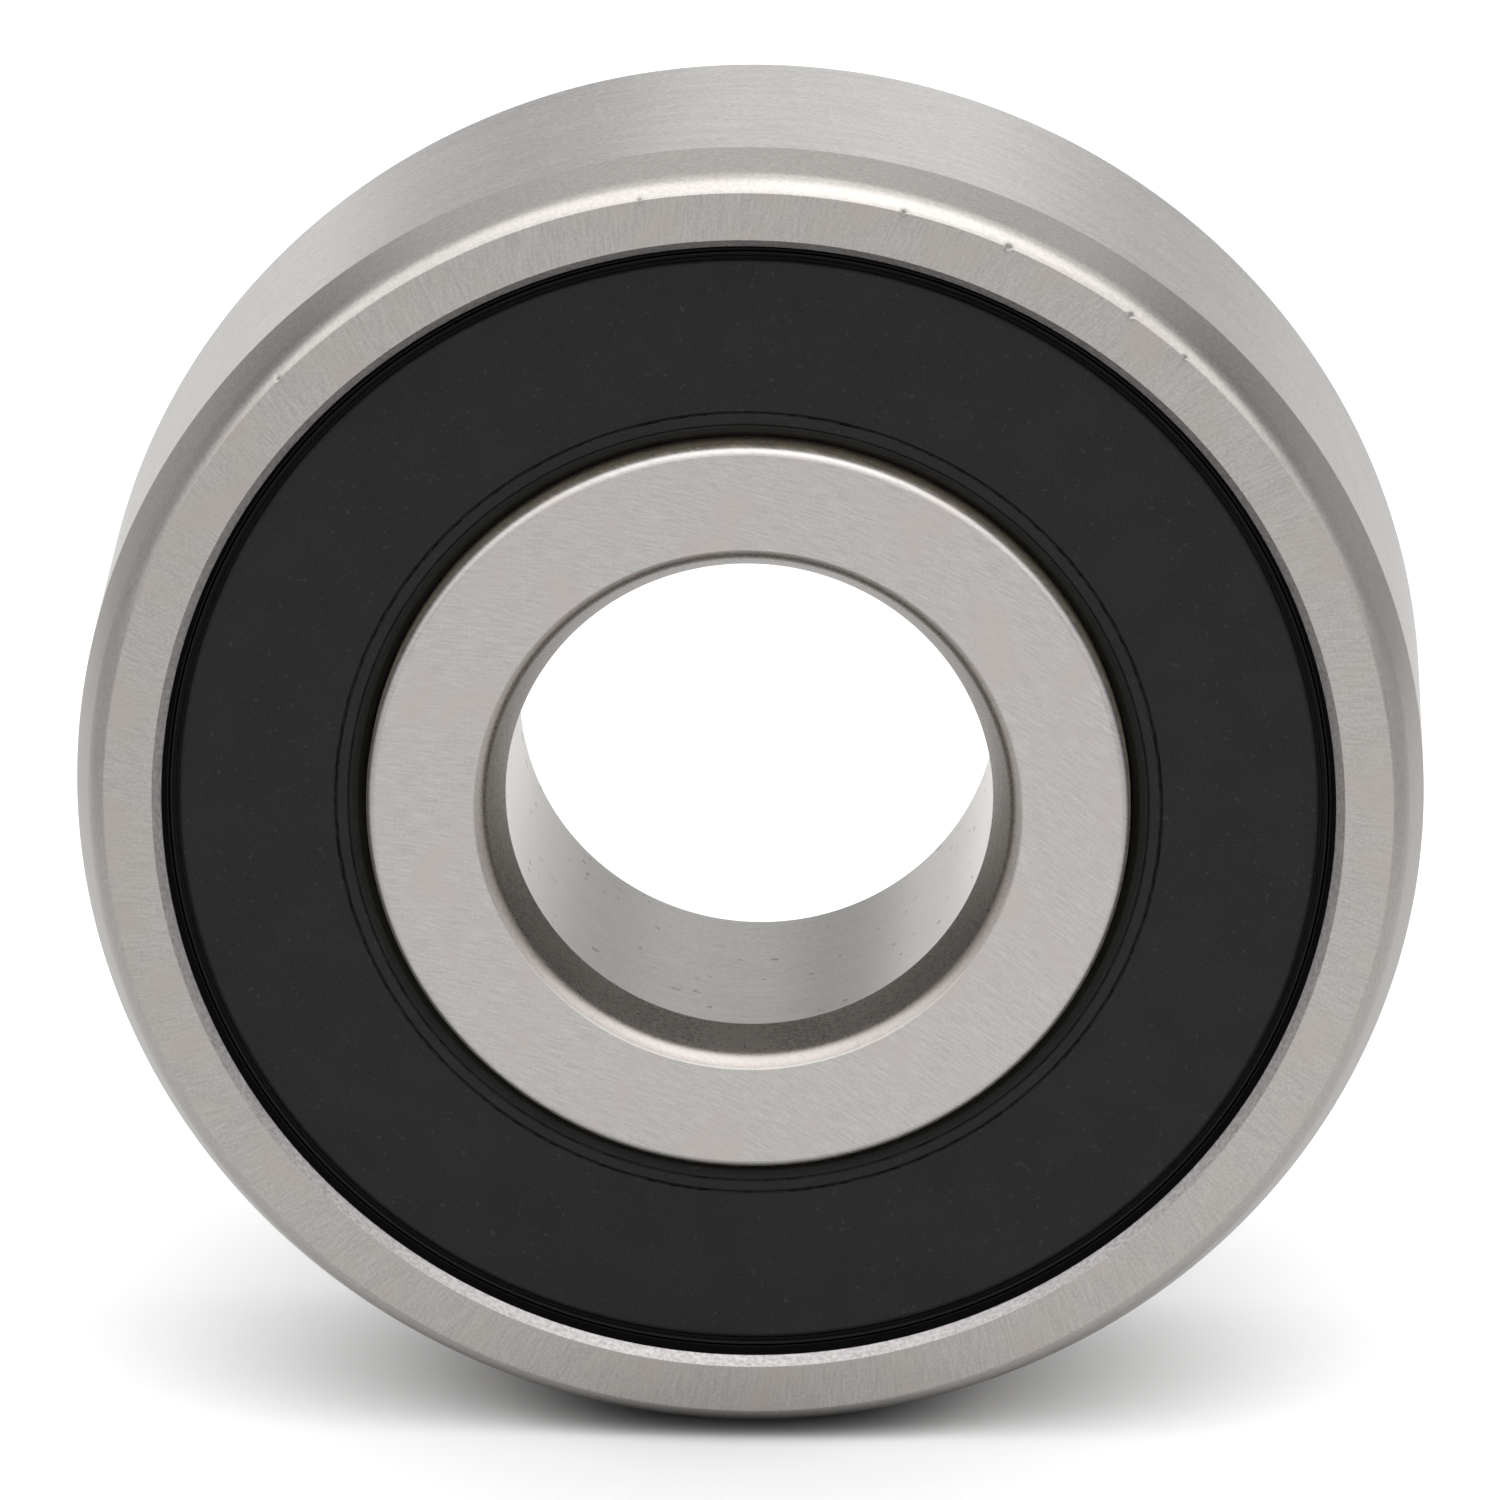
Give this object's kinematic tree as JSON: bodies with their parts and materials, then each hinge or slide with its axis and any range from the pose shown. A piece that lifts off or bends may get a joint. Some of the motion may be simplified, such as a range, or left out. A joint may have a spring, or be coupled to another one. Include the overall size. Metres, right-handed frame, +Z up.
{
  "type": "ball bearing",
  "caption": "Sealed deep groove ball bearing: ground steel inner and outer rings, black rubber seals on both faces, riveted ribbon cage and steel balls inside.",
  "frame": {"origin": "centre of the bearing, on its axis and halfway across its width", "axes": "+Y along the axis away from the viewer, front face towards -Y, +Z up with the bearing standing on its rim, +X to the viewer's right"},
  "size_m": [0.047, 0.014, 0.047],
  "materials": {
    "ring_steel": "satin ground",
    "seal_rubber": "matte moulded",
    "washer_steel": "cold rolled sheet",
    "cage_steel": "pressed sheet",
    "ball_steel": "lapped",
    "rivet_steel": "drawn wire"
  },
  "bodies": {
    "outer_race": {"outer_ring": "ring_steel", "front_seal_rubber": "seal_rubber", "front_seal_washer": "washer_steel", "rear_seal_rubber": "seal_rubber", "rear_seal_washer": "washer_steel"},
    "inner_race": {"inner_ring": "ring_steel"},
    "cage": {"front_cage_half": "cage_steel", "rear_cage_half": "cage_steel", "rivet_1": "rivet_steel", "rivet_2": "rivet_steel", "rivet_3": "rivet_steel", "rivet_4": "rivet_steel", "rivet_5": "rivet_steel", "rivet_6": "rivet_steel", "rivet_7": "rivet_steel"},
    "ball_1_body": {"ball_1": "ball_steel"},
    "ball_2_body": {"ball_2": "ball_steel"},
    "ball_3_body": {"ball_3": "ball_steel"},
    "ball_4_body": {"ball_4": "ball_steel"},
    "ball_5_body": {"ball_5": "ball_steel"},
    "ball_6_body": {"ball_6": "ball_steel"},
    "ball_7_body": {"ball_7": "ball_steel"}
  },
  "joints": [
    {"name": "inner_ring_spin", "type": "hinge", "parent": "outer_race", "child": "inner_race", "pos_m": [0, 0, 0], "axis": [0, 1, 0], "continuous": true},
    {"name": "cage_orbit", "type": "hinge", "parent": "outer_race", "child": "cage", "pos_m": [0, 0, 0], "axis": [0, 1, 0], "continuous": true},
    {"name": "ball_1_roll", "type": "hinge", "parent": "cage", "child": "ball_1_body", "pos_m": [0, 0, 0.016], "axis": [0, 1, 0], "continuous": true},
    {"name": "ball_2_roll", "type": "hinge", "parent": "cage", "child": "ball_2_body", "pos_m": [0.01251, 0, 0.00998], "axis": [0, 1, 0], "continuous": true},
    {"name": "ball_3_roll", "type": "hinge", "parent": "cage", "child": "ball_3_body", "pos_m": [0.0156, 0, -0.00356], "axis": [0, 1, 0], "continuous": true},
    {"name": "ball_4_roll", "type": "hinge", "parent": "cage", "child": "ball_4_body", "pos_m": [0.00694, 0, -0.01442], "axis": [0, 1, 0], "continuous": true},
    {"name": "ball_5_roll", "type": "hinge", "parent": "cage", "child": "ball_5_body", "pos_m": [-0.00694, 0, -0.01442], "axis": [0, 1, 0], "continuous": true},
    {"name": "ball_6_roll", "type": "hinge", "parent": "cage", "child": "ball_6_body", "pos_m": [-0.0156, 0, -0.00356], "axis": [0, 1, 0], "continuous": true},
    {"name": "ball_7_roll", "type": "hinge", "parent": "cage", "child": "ball_7_body", "pos_m": [-0.01251, 0, 0.00998], "axis": [0, 1, 0], "continuous": true}
  ],
  "couplings": [
    {"joint": "cage_orbit", "follows": "inner_ring_spin", "ratio": 0.36358},
    {"joint": "ball_1_roll", "follows": "inner_ring_spin", "ratio": -1.6961},
    {"joint": "ball_2_roll", "follows": "inner_ring_spin", "ratio": -1.6961},
    {"joint": "ball_3_roll", "follows": "inner_ring_spin", "ratio": -1.6961},
    {"joint": "ball_4_roll", "follows": "inner_ring_spin", "ratio": -1.6961},
    {"joint": "ball_5_roll", "follows": "inner_ring_spin", "ratio": -1.6961},
    {"joint": "ball_6_roll", "follows": "inner_ring_spin", "ratio": -1.6961},
    {"joint": "ball_7_roll", "follows": "inner_ring_spin", "ratio": -1.6961}
  ]
}
